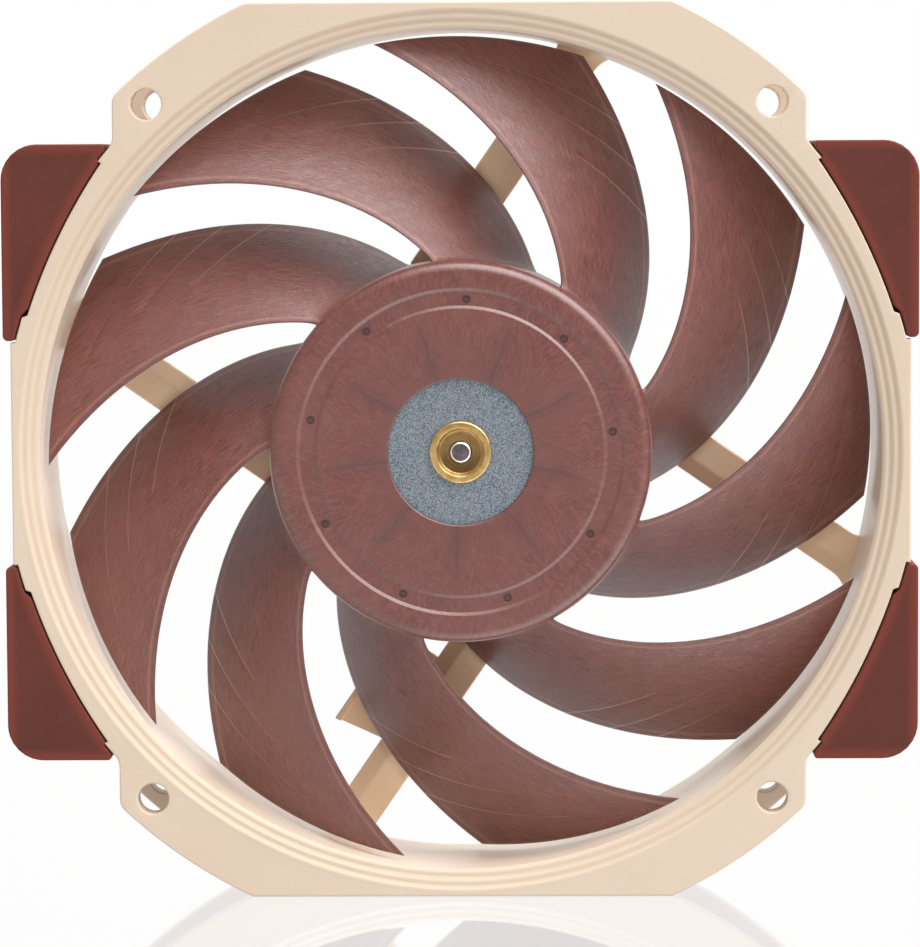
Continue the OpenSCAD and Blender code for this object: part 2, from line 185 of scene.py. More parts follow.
def bar(name, section, u0, u1, turn, bevel, end_turn=0.0, flare=0.0, flare_u=4.0):
    """Section (v, z) drawn along +x and turned about the fan axis.

    Its far end is slanted by end_turn and may flare.
    """
    n = len(section)
    v_first, v_last = section[0][0], section[1][0]
    v_mid = (v_first + v_last) / 2
    lean = math.tan(math.radians(end_turn))
    stations = [u0]
    if flare:
        stations += [u1 - flare_u * (1 - k / FLARE_STEPS) for k in range(FLARE_STEPS + 1)]
    else:
        stations.append(u1)
    verts = []
    for u in stations:
        grow = flare * max(0.0, 1 - (u1 - u) / flare_u) ** 2
        slant = lean * min(1.0, max(0.0, (u - u0) / (u1 - u0)) ** SLANT_POWER)
        for v, z in section:
            side = grow if v > v_mid else -grow
            verts.append((u - slant * (v - v_first), v + side, z))
    last = (len(stations) - 1) * n
    faces = [tuple(range(n - 1, -1, -1)), tuple(range(last, last + n))]
    for k in range(len(stations) - 1):
        for i in range(n):
            j = (i + 1) % n
            faces.append((k * n + i, k * n + j, (k + 1) * n + j, (k + 1) * n + i))
    c, s = math.cos(math.radians(turn)), math.sin(math.radians(turn))
    verts = [(x * c - y * s, x * s + y * c, z) for x, y, z in verts]
    obj = new_object(name, verts, faces, None, 60.0)
    m = obj.modifiers.new("edge", "BEVEL")
    m.width = bevel * MM
    m.segments = 3
    m.limit_method = "ANGLE"
    m.angle_limit = math.radians(25)
    m.harden_normals = True
    return obj


def arc(cx, cy, r, a0, a1, n):
    return [
        (cx + r * math.cos(math.radians(a0 + (a1 - a0) * i / n)),
         cy + r * math.sin(math.radians(a0 + (a1 - a0) * i / n)))
        for i in range(n + 1)
    ]


def ring(r, n=288):
    return [
        (r * math.cos(2 * math.pi * i / n), r * math.sin(2 * math.pi * i / n))
        for i in range(n)
    ]


# ---------------------------------------------------------------- material helpers


class Nodes:
    """Small wrapper to write the nodes of a material or of the world in few lines."""

    def __init__(self, owner):
        owner.use_nodes = True
        self.owner = owner
        self.tree = owner.node_tree

    def add(self, kind, **settings):
        node = self.tree.nodes.new(kind)
        for k, v in settings.items():
            setattr(node, k, v)
        return node

    def link(self, a, b):
        self.tree.links.new(a, b)

    def put(self, socket, value):
        if isinstance(value, bpy.types.NodeSocket):
            self.link(value, socket)
        else:
            socket.default_value = value

    def coords(self, kind="Object"):
        return self.add("ShaderNodeTexCoord").outputs[kind]

    def flow(self):
        return self.add("ShaderNodeUVMap", uv_map="flow").outputs[0]

    def scaled(self, vec, scale, turn=(0, 0, 0)):
        m = self.add("ShaderNodeMapping")
        self.link(vec, m.inputs["Vector"])
        m.inputs["Scale"].default_value = scale
        m.inputs["Rotation"].default_value = turn
        return m.outputs[0]

    def noise(self, vec, scale, detail=4.0, rough=0.55, distortion=0.0):
        t = self.add("ShaderNodeTexNoise")
        self.link(vec, t.inputs["Vector"])
        t.inputs["Scale"].default_value = scale
        t.inputs["Detail"].default_value = detail
        t.inputs["Roughness"].default_value = rough
        t.inputs["Distortion"].default_value = distortion
        return t.outputs["Fac"]

    def math(self, op, a, b=0.0, c=0.0):
        m = self.add("ShaderNodeMath", operation=op)
        for s, v in zip(m.inputs, (a, b, c)):
            self.put(s, v)
        return m.outputs[0]

    def fit(self, value, lo, hi, to_lo=0.0, to_hi=1.0, kind="SMOOTHSTEP"):
        m = self.add("ShaderNodeMapRange", interpolation_type=kind)
        self.put(m.inputs["Value"], value)
        for k, v in (("From Min", lo), ("From Max", hi), ("To Min", to_lo), ("To Max", to_hi)):
            self.put(m.inputs[k], v)
        return m.outputs["Result"]

    def mix(self, fac, a, b):
        m = self.add("ShaderNodeMix", data_type="RGBA")
        self.put(m.inputs["Factor"], fac)
        ins = [s for s in m.inputs if s.type == "RGBA"]
        self.put(ins[0], a)
        self.put(ins[1], b)
        return [s for s in m.outputs if s.type == "RGBA"][0]

    def polar(self):
        """Place across and up, depth to the front, distance from the axis and direction.

        All are in millimetres from the fan's centre, the direction in degrees.
        """
        sep = self.add("ShaderNodeSeparateXYZ")
        self.link(self.coords(), sep.inputs[0])
        x = self.math("MULTIPLY", sep.outputs["X"], 1000.0)
        y = self.math("MULTIPLY_ADD", sep.outputs["Z"], 1000.0, -AXIS_Z)
        depth = self.math("MULTIPLY", sep.outputs["Y"], -1000.0)
        radius = self.length(x, y)
        turn = self.math("DEGREES", self.math("ARCTAN2", y, x))
        return x, y, depth, radius, turn

    def length(self, x, y):
        squares = self.math("ADD", self.math("MULTIPLY", x, x), self.math("MULTIPLY", y, y))
        return self.math("SQRT", squares)

    def apart(self, x, y, cx, cy):
        """Distance of (x, y) from a point."""
        return self.length(self.math("SUBTRACT", x, cx), self.math("SUBTRACT", y, cy))

    def line(self, distance, width):
        """1 on a line, fading to 0 at its width."""
        return self.fit(self.math("ABSOLUTE", distance), 0.0, width, 1.0, 0.0)

    def vector(self, x, y, z=0.0):
        v = self.add("ShaderNodeCombineXYZ")
        for socket, value in zip(v.inputs, (x, y, z)):
            self.put(socket, value)
        return v.outputs[0]

    def bump(self, height, distance, strength=1.0, normal=None):
        b = self.add("ShaderNodeBump")
        b.inputs["Distance"].default_value = distance
        b.inputs["Strength"].default_value = strength
        self.link(height, b.inputs["Height"])
        if normal is not None:
            self.link(normal, b.inputs["Normal"])
        return b.outputs["Normal"]

    def surface(self, color, rough, normal, **fixed):
        shader = self.tree.nodes["Principled BSDF"]
        self.put(shader.inputs["Base Color"], color)
        self.put(shader.inputs["Roughness"], rough)
        self.link(normal, shader.inputs["Normal"])
        for k, v in fixed.items():
            shader.inputs[k.replace("_", " ")].default_value = v
        return self.owner


def rgb(r, g, b):
    """Display colour 0-255 to linear."""
    def one(c):
        c /= 255.0
        return c / 12.92 if c <= 0.04045 else ((c + 0.055) / 1.055) ** 2.4
    return (one(r), one(g), one(b), 1.0)


def make_frame_plastic(name, dark, light, duct=False, painted_bounce=False):
    """Smooth beige moulding; the duct's wall is glossier and painted lighter as a painted
    reflection, and painted shade darkens the feet of its inlet steps.

    The fronts of the struts, tray and base are painted a lighter, warmer tone: painted bounce light
    from between the blades and the duct.
    """
    n = Nodes(bpy.data.materials.new(name))
    p = n.coords()
    x, y, depth, radius, _ = n.polar()
    ax, ay = n.math("ABSOLUTE", x), n.math("ABSOLUTE", y)
    broad = n.noise(p, 18.0, 3.0)
    color = n.mix(n.fit(broad, 0.3, 0.7), dark, light)
    normal = n.bump(broad, 0.0002, 0.4)

    marks = 0.0
    for place_x, place_y, mark_r, width in EJECTOR_MARKS:
        edge = n.math("SUBTRACT", n.apart(ax, ay, place_x, place_y), mark_r)
        marks = n.math("ADD", n.line(edge, width), marks)
    marks = n.math("MULTIPLY", marks, n.math("GREATER_THAN", depth, HALF_D - 0.5))
    color = n.mix(n.math("MULTIPLY", marks, 0.05), color, rgb(176, 142, 112))

    if painted_bounce:
        # painted bounce light: faces in front of the rear face are painted lighter and warmer
        warm = n.fit(depth, 0.2 - HALF_D, 0.9 - HALF_D)
        color = n.mix(warm, color, rgb(246, 216, 180))
    if duct:
        # painted reflection: the barrel behind the inlet steps is painted lighter
        wall = n.fit(depth, 10.6, 11.2, 1.0, 0.0)
        color = n.mix(wall, color, rgb(223, 204, 185))
        # painted shade in the feet of the two inlet steps
        root_shade = 0.0
        for root_r in STEP_ROOTS:
            root_shade = n.math("ADD", n.line(n.math("SUBTRACT", radius, root_r), 0.45), root_shade)
        root_shade = n.math("MULTIPLY", root_shade, n.math("GREATER_THAN", depth, 11.0))
        color = n.mix(n.math("MULTIPLY", root_shade, 0.35), color, rgb(182, 150, 120))
        rough = n.fit(broad, 0.3, 0.7, 0.44, 0.5)
        rough = n.math("SUBTRACT", rough, n.math("MULTIPLY", wall, 0.13))
    else:
        rough = n.fit(n.noise(p, 900.0, 3.0), 0.2, 0.8, 0.4, 0.5)
        normal = n.bump(n.noise(p, 2600.0, 2.0), 0.000012, 1.0, normal)
    normal = n.bump(n.math("MULTIPLY", marks, -1.0), 0.00002, 1.0, normal)
    return n.surface(color, rough, normal, Subsurface_Weight=0.08, Subsurface_Scale=0.0015,
                     Specular_IOR_Level=0.32)


def make_pad_rubber():
    """Matt rubber with a painted highlight: lighter and redder along the pad's rounded edges."""
    n = Nodes(bpy.data.materials.new("pad_rubber"))
    p = n.coords()
    x, y = n.polar()[:2]
    ax, ay = n.math("ABSOLUTE", x), n.math("ABSOLUTE", y)
    inner = n.math("SUBTRACT", n.apart(ax, ay, SEAT_X, SEAT_Y), SEAT_ARC_R + PAD_GAP)
    rim = n.math("MINIMUM", n.math("SUBTRACT", PAD_X, ax), n.math("SUBTRACT", PAD_Y1, ay))
    rim = n.math("MINIMUM", rim, inner)
    broad = n.noise(p, 60.0, 4.0)
    grain = n.noise(p, 2200.0, 4.0)
    rim = n.math("ADD", rim, n.math("MULTIPLY", broad, 0.8))
    dust = n.fit(n.noise(p, 5200.0, 2.0), 0.62, 0.8)
    color = n.mix(n.fit(broad, 0.3, 0.7), rgb(82, 39, 30), rgb(90, 43, 34))
    # painted highlight near the pad's outline
    color = n.mix(n.fit(rim, 0.9, 2.4, 0.5, 0.0), color, rgb(124, 52, 38))
    color = n.mix(n.math("MULTIPLY", dust, 0.3), color, rgb(142, 92, 80))
    rough = n.fit(broad, 0.3, 0.7, 0.62, 0.7)
    return n.surface(color, rough, n.bump(grain, 0.00003), Sheen_Weight=0.05,
                     Sheen_Roughness=0.4, Specular_IOR_Level=0.25)


def wander(n, vec, size, reach):
    """vec pushed about by slow noise, so that long fibres bend."""
    warp = n.add("ShaderNodeTexNoise")
    n.link(n.scaled(vec, (size, size, 1)), warp.inputs["Vector"])
    warp.inputs["Scale"].default_value = 1.0
    warp.inputs["Detail"].default_value = 2.0
    shift = n.add("ShaderNodeVectorMath", operation="MULTIPLY_ADD")
    n.link(warp.outputs["Color"], shift.inputs[0])
    shift.inputs[1].default_value = (reach, reach, 0.0)
    n.link(vec, shift.inputs[2])
    return shift.outputs[0]


def fibre_look(n, vec):
    """Short fine fibres lying along the second axis of vec (millimetres), some of them crossed."""
    v = wander(n, vec, 0.16, 2.6)
    along = n.noise(n.scaled(v, (6.4, 0.5, 1)), 1.0, 3.0, 0.6, 0.15)
    left = n.noise(n.scaled(v, (6.0, 0.55, 1), (0, 0, 0.28)), 1.0, 2.0, 0.6, 0.1)
    right = n.noise(n.scaled(v, (6.0, 0.55, 1), (0, 0, -0.3)), 1.0, 2.0, 0.6, 0.1)
    streak = n.math("MULTIPLY", n.fit(along, 0.42, 0.62), 0.6)
    streak = n.math("ADD", streak, n.math("MULTIPLY", n.fit(left, 0.54, 0.68), 0.3))
    return n.math("ADD", streak, n.math("MULTIPLY", n.fit(right, 0.54, 0.68), 0.3))


def make_impeller(name, hub=False):
    """Fibre-filled plastic: fine fibres follow the way the plastic flowed into the mould."""
    n = Nodes(bpy.data.materials.new(name))
    if hub:
        vec, marks = hub_flow(n)
    else:
        vec = n.flow()
    streak = n.math("MULTIPLY", fibre_look(n, vec), 0.5 if hub else 1.0)
    obj = n.coords()
    cloud = n.noise(obj, 75.0, 4.0, 0.62)
    patch = n.noise(obj, 260.0, 3.0, 0.6)
    speck = n.noise(obj, 3000.0, 2.0, 0.5)
    color = n.mix(streak, rgb(88, 31, 23), rgb(147, 75, 62))
    color = n.mix(n.fit(cloud, 0.35, 0.68, 0.0, 0.5), color, rgb(107, 48, 36))
    color = n.mix(n.fit(patch, 0.5, 0.72, 0.0, 0.3), color, rgb(120, 72, 67))
    color = n.mix(n.fit(speck, 0.60, 0.72, 0.0, 0.4), color, rgb(156, 108, 96))
    rough = n.math("ADD", n.fit(cloud, 0.3, 0.7, 0.32, 0.39), n.math("MULTIPLY", streak, 0.07))
    height = n.math("ADD", n.math("MULTIPLY", streak, 0.8), n.math("MULTIPLY", speck, 0.7))
    normal = n.bump(height, 0.00002 if hub else 0.00005)
    if hub:
        # weld lines, darker towards the disc, and painted shade round the dots
        color = n.mix(marks, color, rgb(74, 34, 29))
    else:
        # painted shade along the blades' rounded edges, then painted highlights on the channels and
        # inside the blade edges
        light, dark = blade_painted_light(n, vec)
        color = n.mix(dark, color, rgb(72, 34, 28))
        color = n.mix(light, color, rgb(206, 158, 142))
    return n.surface(color, rough, normal, Specular_IOR_Level=1.0, Coat_Weight=0.4,
                     Coat_Roughness=0.38)


def blade_painted_light(n, flow):
    """On the blades' fronts: painted highlights beside each channel's edge and just inside the
    leading and trailing edges, and painted shade along the rounded edges.
    """
    sep = n.add("ShaderNodeSeparateXYZ")
    n.link(flow, sep.inputs[0])
    share = n.math("DIVIDE", n.math("FLOORED_MODULO", sep.outputs["X"], BLADE_STEP), CHORD_UV)
    total = 0.0
    # painted highlight beside each channel's edge
    for start, first in CHANNELS:
        lean = n.math("MULTIPLY", n.math("SUBTRACT", share, CHANNELS[0][1]), CHANNEL_LEAN)
        off = n.math("SUBTRACT", n.math("ADD", sep.outputs["Y"], lean), start)
        part = n.math("MULTIPLY", n.line(off, 0.17), n.fit(share, first, first + 0.05))
        total = n.math("ADD", part, total)
    front = n.math("LESS_THAN", share, 1.0)
    # painted shade along the rounded leading and trailing edges
    outline = n.math("ADD", n.fit(share, 0.0, 0.035, 0.45, 0.0),
                     n.fit(share, 0.965, 1.0, 0.0, 0.45))
    # painted highlights just inside the leading and trailing edges
    for at in (0.055, 0.945):
        part = n.math("MULTIPLY", n.line(n.math("SUBTRACT", share, at), 0.022), 0.45)
        total = n.math("ADD", total, part)
    light = n.math("MULTIPLY", n.math("MULTIPLY", total, front), 0.42)
    return light, n.math("MULTIPLY", outline, front)


def hub_flow(n):
    """Fibres that fan out from the disc in nine fields, the dark weld lines between them, a
    darkening towards the disc, and painted shade in and round the ring-and-centre dots.
    """
    depth, radius, turn = n.polar()[2:]
    wobble = n.fit(n.noise(n.coords(), 260.0, 3.0), 0.2, 0.8, -2.2, 2.2, "LINEAR")
    shifted = n.math("ADD", turn, FIELD_TURN)
    field = n.math("ADD", n.math("FLOORED_MODULO", shifted, FIELD), -FIELD / 2)
    out = n.math("MAXIMUM", n.math("SUBTRACT", radius, DISC_R), 0.0)
    splay = n.math("MULTIPLY_ADD", out, 0.11, 1.0)
    across = n.math("MULTIPLY", n.math("DIVIDE", field, splay), 0.36)
    index = n.math("FLOOR", n.math("DIVIDE", shifted, FIELD))
    across = n.math("MULTIPLY_ADD", index, 31.7, across)
    length = n.math("ADD", radius, depth)
    weld = n.math("SUBTRACT", FIELD / 2, n.math("ABSOLUTE", n.math("ADD", field, wobble)))
    soft = n.math("ADD", n.fit(weld, 0.0, 1.7, 0.5, 0.0), n.fit(weld, 0.0, 9.0, 0.3, 0.0))
    marks = n.math("MULTIPLY", soft, n.fit(radius, 17.5, 22.4, 1.0, 0.0))
    # darker towards the disc
    marks = n.math("ADD", marks, n.fit(radius, 12.0, 19.0, 0.14, 0.0))
    # painted shade in and round the ring-and-centre dots
    dot_turn = n.math("FLOORED_MODULO", n.math("ADD", turn, FIELD / 2 - DOT_TURN), FIELD)
    off = n.math("MULTIPLY", n.math("RADIANS", n.math("SUBTRACT", dot_turn, FIELD / 2)), radius)
    dot = n.apart(off, radius, 0.0, DOT_RING_R)
    marks = n.math("ADD", marks, n.fit(dot, 0.5, 0.85, 0.6, 0.0))
    return n.vector(across, length), n.math("MINIMUM", marks, 0.85)


def make_spangle():
    """Steel with a very fine sparkling grain."""
    n = Nodes(bpy.data.materials.new("rotor_steel"))
    p = n.coords()
    cell = n.add("ShaderNodeTexVoronoi")
    n.link(p, cell.inputs["Vector"])
    cell.inputs["Scale"].default_value = 7400.0
    grey = n.add("ShaderNodeRGBToBW")
    n.link(cell.outputs["Color"], grey.inputs[0])
    fine = n.noise(p, 6800.0, 2.0, 0.7)
    cloud = n.noise(p, 420.0, 3.0)
    value = n.math("ADD", n.math("MULTIPLY", grey.outputs[0], 0.8), n.math("MULTIPLY", fine, 0.45))
    value = n.math("ADD", value, n.math("MULTIPLY", cloud, 0.15))
    color = n.mix(n.fit(value, 0.35, 0.98), rgb(70, 82, 94), rgb(158, 168, 176))
    warm = n.fit(n.noise(p, 5200.0, 1.0), 0.55, 0.7, 0.0, 0.3)
    color = n.mix(warm, color, rgb(164, 140, 132))
    rough = n.fit(value, 0.4, 0.9, 0.5, 0.36)
    return n.surface(color, rough, n.bump(value, 0.00002), Metallic=0.7)


def make_turned(name, dark, light, rough, dish_shade=0.0, chamfer_highlight=0.0):
    """Metal cut on a lathe: fine rings round the fan axis.

    dish sets the painted shade inside the boss, and chamfer the painted highlight on the ring round
    the shaft's end.
    """
    n = Nodes(bpy.data.materials.new(name))
    depth, radius, turn = n.polar()[2:]
    wear = n.noise(n.coords(), 900.0, 4.0)
    rings = n.noise(n.vector(n.math("MULTIPLY", radius, 9.0), n.math("MULTIPLY", depth, 9.0),
                             n.math("MULTIPLY", turn, 0.004)), 1.0, 3.0, 0.6)
    color = n.mix(n.fit(wear, 0.3, 0.7), dark, light)
    # painted shade inside the boss, full within 3 mm of the axis
    color = n.mix(n.fit(radius, 3.0, 3.9, dish_shade, 0.0), color, rgb(112, 82, 48))
    # painted highlight beyond 1.42 mm from the axis, seen as the bright ring round the shaft's end
    color = n.mix(n.fit(radius, 1.34, 1.42, 0.0, chamfer_highlight), color, rgb(250, 244, 236))
    rough = n.fit(rings, 0.3, 0.7, rough * 0.85, rough * 1.2)
    return n.surface(color, rough, n.bump(rings, 0.000016), Metallic=1.0)


def make_plain(name, dark, light, rough, scale=400.0, metallic=0.0, bump=0.00002):
    """Two close tones in broad patches, with a fine grain."""
    n = Nodes(bpy.data.materials.new(name))
    p = n.coords()
    broad = n.noise(p, scale, 4.0)
    grain = n.noise(p, scale * 6, 3.0)
    color = n.mix(n.fit(broad, 0.3, 0.7), dark, light)
    return n.surface(color, n.fit(grain, 0.3, 0.7, rough - 0.05, rough + 0.05),
                     n.bump(grain, bump), Metallic=metallic)


# round marks of the mould's ejector pins, in one quarter: x, y, radius, width of the line
EJECTOR_MARKS = ((25.0, 67.6, 1.6, 0.16), (50.8, 50.75, 1.1, 0.14))
STEP_ROOTS = 68.35, 67.1        # radii of the two inlet steps' feet, where painted shade darkens the duct
FIELD = 40.0           # one ninth of a turn
FIELD_TURN = 92.4      # where the hub's first field of fibres begins
DOT_RING_R, DOT_TURN = 23.95, 7.6
# three shallow channels in each blade's front: where they begin in radius and chord share
CHANNELS = ((61.2, 0.36), (56.1, 0.45), (50.84, 0.515))
CHANNEL_LEAN = 6.7       # how far they lean towards the hub over the whole chord
CHANNEL_DEPTH = 0.2
CHORD_UV, BLADE_STEP = 24.0, 61.3      # flow uv: width of a blade's side, and step between blades
DISC_R = 11.4
SEAT_X, SEAT_Y, SEAT_ARC_R, SEAT_R = -21.0, -7.6, 93.2, 71.6
SEAT_Y0, SEAT_Y1, SEAT_Y2, SEAT_STEP = 17.4, 21.4, 45.3, 0.3
PAD_X, PAD_Y0, PAD_Y1, PAD_ROUND, PAD_GAP = 71.4, 17.7, 48.3, 5.6, 0.25

BEIGE = rgb(200, 181, 161), rgb(205, 187, 168)

MATS = {
    "frame_plastic": make_frame_plastic("frame_plastic", *BEIGE),
    "pad_rubber": make_pad_rubber(),
    "impeller_plastic": make_impeller("impeller_plastic"),
    "rotor_steel": make_spangle(),
    "magnet": make_plain("magnet", rgb(44, 43, 42), rgb(60, 58, 57), 0.6),
    "brass": make_turned("brass", rgb(206, 166, 102), rgb(234, 200, 138), 0.27, 0.75),
    "shaft_steel": make_turned("shaft_steel", rgb(104, 94, 98), rgb(136, 126, 130), 0.36, 0.0, 1.0),
    "sleeve_bronze": make_plain("sleeve_bronze", rgb(150, 104, 62), rgb(176, 128, 80),
                                0.4, 900.0, 1.0),
    "seal_rubber": make_plain("seal_rubber", rgb(30, 28, 28), rgb(42, 40, 39), 0.55),
    "insulation": make_plain("insulation", rgb(226, 226, 216), rgb(238, 238, 230), 0.42),
    "core_steel": make_plain("core_steel", rgb(120, 122, 126), rgb(150, 152, 156),
                             0.38, 800.0, 1.0),
    "winding": make_plain("winding", rgb(150, 74, 38), rgb(192, 108, 60),
                          0.28, 1200.0, 0.6, 0.0001),
    "board": make_plain("board", rgb(24, 84, 54), rgb(34, 104, 66), 0.32),
    "chip": make_plain("chip", rgb(28, 28, 30), rgb(38, 38, 40), 0.5),
    "capacitor": make_plain("capacitor", rgb(160, 136, 104), rgb(184, 160, 128), 0.4),
    "label": make_plain("label", rgb(222, 218, 208), rgb(232, 229, 221), 0.5, 120.0),
}


def dress(obj, slot, body, *nodes):
    obj.data.materials.clear()
    obj.data.materials.append(MATS[slot])
    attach(obj, body)
    if nodes:
        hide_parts(*nodes)
    return obj


# ---------------------------------------------------------------- frame

RING_R, EAR_R, EAR_X = 72.4, 77.4, 53.9
HALF_W, HALF_H = 70.2, 70.0
HOLE_X, HOLE_Y, HOLE_R = 48.6, 54.4, 2.4
DUCT_R, BARREL_R = 65.85, 68.4
STRUT_A, STRUT_V0, STRUT_V1, STRUT_H = 55.3, 16.4, 23.4, 2.9
STRUT_U0, STRUT_U1, STRUT_END_TURN, STRUT_FLARE = 19.0, 65.0, 17.2, 1.5
TRAY_U0, TRAY_U1, TRAY_END_TURN = 31.2, 48.8, 10.0
FLANGE_T, FLANGE_EDGE = 4.0, 0.3
BASE_R = 29.4


def polar_at(y, r):
    """Direction of the point at height y on a circle round the axis."""
    return math.degrees(math.asin(y / r))


def seat_turn(y):
    """Direction of the point at height y on the pads' seat, from the seat's own centre."""
    return math.degrees(math.asin((y - SEAT_Y) / SEAT_ARC_R))


def flange_outline():
    """Outline of a flange, drawn for one quarter and mirrored: seat, ring, ear and flat."""
    fillet, corner = 3.0, 2.5
    fx = EAR_X + fillet
    fy = math.sqrt((RING_R + fillet) ** 2 - fx * fx)
    fa = math.degrees(math.atan2(fy, fx))
    cx = EAR_X - corner
    cy = math.sqrt((EAR_R - corner) ** 2 - cx * cx)
    ca = math.degrees(math.atan2(cy, cx))
    q = [(HALF_W, SEAT_Y0)]
    q += arc(0, 0, SEAT_R, polar_at(SEAT_Y0, SEAT_R), polar_at(SEAT_Y1, SEAT_R), 6)
    q += arc(SEAT_X, SEAT_Y, SEAT_ARC_R, seat_turn(SEAT_Y1 + SEAT_STEP), seat_turn(SEAT_Y2), 40)
    q += arc(0, 0, RING_R, polar_at(SEAT_Y2 + SEAT_STEP, RING_R), fa, 4)
    q += arc(fx, fy, fillet, 180 + fa - 6, 180, 8)
    q += arc(cx, cy, corner, 0, ca, 10)
    q += arc(0, 0, EAR_R, ca + 1, math.degrees(math.asin(HALF_H / EAR_R)), 24)
    return (q + [(-x, y) for x, y in q[::-1]] + [(-x, -y) for x, y in q]
            + [(x, -y) for x, y in q[::-1]])


def holes():
    return [
        [(sx * HOLE_X + x, sy * HOLE_Y + y) for x, y in ring(HOLE_R, 64)]
        for sx in (-1, 1) for sy in (-1, 1)
    ]


LIP_TOP = HALF_D - 0.004
front = plate("frame_front_flange", [flange_outline(), ring(69.2)] + holes(),
              HALF_D - FLANGE_T, HALF_D - 0.01, FLANGE_EDGE)
rear = plate("frame_rear_flange", [flange_outline(), ring(67.2)] + holes(),
             -HALF_D, FLANGE_T - HALF_D, FLANGE_EDGE)
# the inlet goes down in two soft steps from the flange's front to the duct
barrel = lathe("frame_barrel", rounded([
    (BARREL_R, 9.0), (BARREL_R, 11.0), (69.64, 11.6), (69.64, 12.46), (69.56, LIP_TOP),
    (68.95, LIP_TOP), (68.3, 11.98), (67.65, 11.96), (67.0, 11.42), (66.35, 11.4),
    (DUCT_R, 10.9), (DUCT_R, -12.2), (66.15, -HALF_D), (BARREL_R, -12.4),
], [0, 0, 0, 0.02, 0.02, 0.6, 0.5, 0.5, 0.5, 0.5, 0.4, 0.3, 0.2, 0], 7))
strut_section = [
    (STRUT_V0, -HALF_D + 0.02), (STRUT_V1, -HALF_D + 0.02), (STRUT_V1, -HALF_D + STRUT_H),
    (STRUT_V0 + 2.5, -HALF_D + STRUT_H), (STRUT_V0, -HALF_D + STRUT_H - 1.6),
]
struts = [
    bar(f"frame_strut_{k}", strut_section, STRUT_U0, STRUT_U1, STRUT_A + 90 * k, 0.3,
        STRUT_END_TURN, STRUT_FLARE)
    for k in range(4)
]
tray = bar("frame_cable_tray", [
    (8.2, -12.2), (17.4, -12.2), (17.4, -11.4), (9.2, -11.4), (9.2, -9.9), (8.2, -9.9),
], TRAY_U0, TRAY_U1, STRUT_A + 180, 0.15, TRAY_END_TURN)
base = lathe("frame_motor_base", rounded([
    (0.0, -12.1), (24.2, -12.1), (24.2, -12.5), (BASE_R, -12.5), (BASE_R, -9.5), (27.3, -9.5),
    (27.3, -10.4), (9.2, -10.4), (9.2, -9.9), (7.4, -9.9), (7.4, -5.8), (5.4, -5.8),
    (5.4, -10.4), (0.0, -10.4),
], [0, 0.05, 0.15, 0.5, 0.4, 0.3, 0.3, 0.2, 0.1, 0.2, 0.3, 0.2, 0, 0]), 192)
for piece in [front, rear, barrel, tray, base] + struts:
    dress(piece, "frame_plastic", "housing", "frame")
# copy of the frame plastic with a painted reflection on the duct's wall and painted shade at its
# inlet steps' feet
barrel.data.materials[0] = make_frame_plastic("duct_plastic", *BEIGE, duct=True)
# copy of the frame plastic with painted bounce light, for the struts, tray and base
inner = make_frame_plastic("strut_plastic", *BEIGE, painted_bounce=True)
for piece in [tray, base] + struts:
    piece.data.materials[0] = inner

# ---------------------------------------------------------------- corner pads

# rounded edges, kept near the outline's smallest corners (0.3 to 0.4), or they fold over
SKIN_EDGE, TONGUE_EDGE = 0.35, 0.3


def pad_loop():
    """Outline of the upper right pad: tip, seat, inner end, outer corner, tip."""
    tip = arc(0, 0, SEAT_R + PAD_GAP,
              polar_at(PAD_Y0, SEAT_R + PAD_GAP), polar_at(SEAT_Y1 + 0.2, SEAT_R), 4)
    seat = arc(SEAT_X, SEAT_Y, SEAT_ARC_R + PAD_GAP,
               seat_turn(SEAT_Y1 + 1.2), seat_turn(SEAT_Y2 - 0.3), 30)
    end = arc(0, 0, RING_R + PAD_GAP,
              polar_at(SEAT_Y2 + 0.5, RING_R), polar_at(46.9, RING_R), 3)
    raw = tip + seat + end + [(55.1, PAD_Y1), (PAD_X, PAD_Y1), (PAD_X, PAD_Y0)]
    radii = [0.0] * len(raw)
    radii[0] = 0.9
    radii[len(tip) - 1] = radii[len(tip)] = 0.4
    radii[len(tip) + len(seat)] = 0.3
    radii[-3:] = [1.0, PAD_ROUND, 1.0]
    return rounded(raw, radii, 8)


def tongue_loop():
    """Outline of the tongue that holds the upper right pad between the flanges."""
    reach = RING_R + 0.4
    outer = arc(0, 0, reach, polar_at(20.0, reach), polar_at(48.0, reach), 24)
    inner = arc(0, 0, BARREL_R + 0.15, polar_at(46.5, BARREL_R), polar_at(20.0, BARREL_R), 24)
    return rounded(outer + inner, 0.3, 3)


for name, sx, sy in (("pad_upper_right", 1, 1), ("pad_upper_left", -1, 1),
                     ("pad_lower_right", 1, -1), ("pad_lower_left", -1, -1)):
    for part, loop, half, edge in (("_skin", pad_loop(), HALF_D - 0.05, SKIN_EDGE),
                                   ("_tongue", tongue_loop(), 8.1, TONGUE_EDGE)):
        piece = plate(name + part, [[(sx * x, sy * y) for x, y in loop]], -half, half, edge, 6)
        dress(piece, "pad_rubber", "housing", name)

# ---------------------------------------------------------------- impeller

HUB_R, TIP_R = 30.0, 64.95
HUB_FRONT, HUB_FLOOR = 12.0, 11.68
LEAD_ROOT, LEAD_TIP = 9.4, 8.1          # depth of the leading edge at the hub and at the tip
TRAIL_ROOT, TRAIL_TIP = -8.3, -6.6      # depth of the trailing edge
THICK_ROOT, THICK_TIP = 2.2, 1.3
TIP_ROUND, EDGE_ROUND_R = 0.6, 0.55     # radii of a blade's rounded tip and edges
FILLET, FILLET_REACH = 0.7, 2.0         # how a blade's foot swells, and how far out


def lead_angle(t):
    """Direction of the leading edge, t millimetres out from the hub."""
    return 98.0 + 1.3624 * t - 0.00307 * t * t


